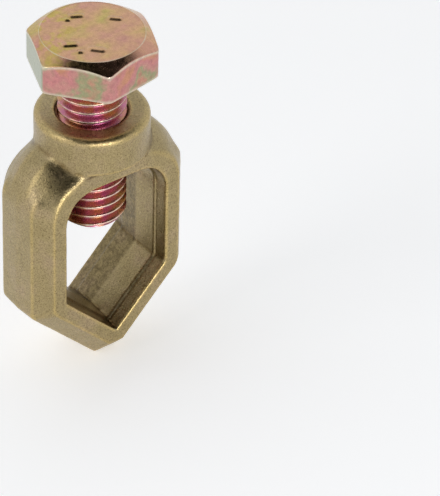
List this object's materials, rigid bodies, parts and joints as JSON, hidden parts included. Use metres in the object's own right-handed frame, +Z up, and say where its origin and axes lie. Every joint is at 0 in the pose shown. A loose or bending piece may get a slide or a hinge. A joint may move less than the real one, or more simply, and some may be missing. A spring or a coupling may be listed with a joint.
{
  "type": "earth rod clamp",
  "caption": "Cast brass loop with a V seat for an earth rod and a hexagon set screw through its boss that clamps the rod.",
  "frame": {"origin": "the point of the V seat at the rims, midway between the two rims", "axes": "+Z up the screw, X across the loop, Y along the rod that it clamps"},
  "size_m": [0.0268, 0.0184, 0.0546],
  "materials": {
    "cast_brass": "satin, as cast",
    "yellow_zinc_steel": "glossy yellow passivated zinc with pink and green tints"
  },
  "bodies": {
    "clamp": {"clamp_body": "cast_brass"},
    "bolt": {"hex_bolt": "yellow_zinc_steel"}
  },
  "joints": [
    {"name": "bolt_travel", "type": "slide", "parent": "clamp", "child": "bolt", "axis": [0, 0, 1], "range_m": [-0.0067, 0.0165]}
  ]
}
